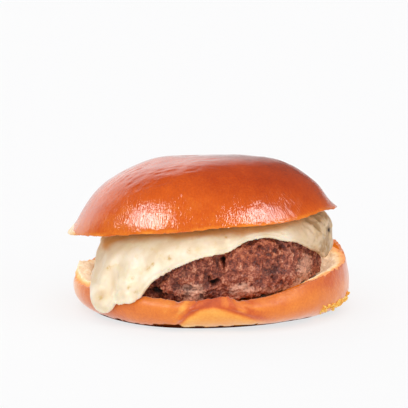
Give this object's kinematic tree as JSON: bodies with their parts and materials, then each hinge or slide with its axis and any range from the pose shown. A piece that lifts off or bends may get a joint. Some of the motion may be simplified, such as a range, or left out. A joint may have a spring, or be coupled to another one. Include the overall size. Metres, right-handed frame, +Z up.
{
  "type": "cheeseburger",
  "caption": "Cheeseburger: a glossy domed brioche bun with a thick beef patty and melted pale cheese running down over the bottom half.",
  "frame": {"origin": "middle of the burger's width and depth, on the surface it rests on", "axes": "+Z up; -Y towards the front, where the patty shows and the cheese runs down at the left; +X to the right"},
  "size_m": [0.1108, 0.1068, 0.0624],
  "materials": {
    "bun": "glazed brown crust, with cream crumb where it is cut",
    "patty": "seared coarse mince, moist",
    "cheese": "melted, soft sheen"
  },
  "bodies": {
    "root": {"heel": "bun", "patty": "patty", "cheese": "cheese", "crown": "bun"}
  },
  "joints": []
}
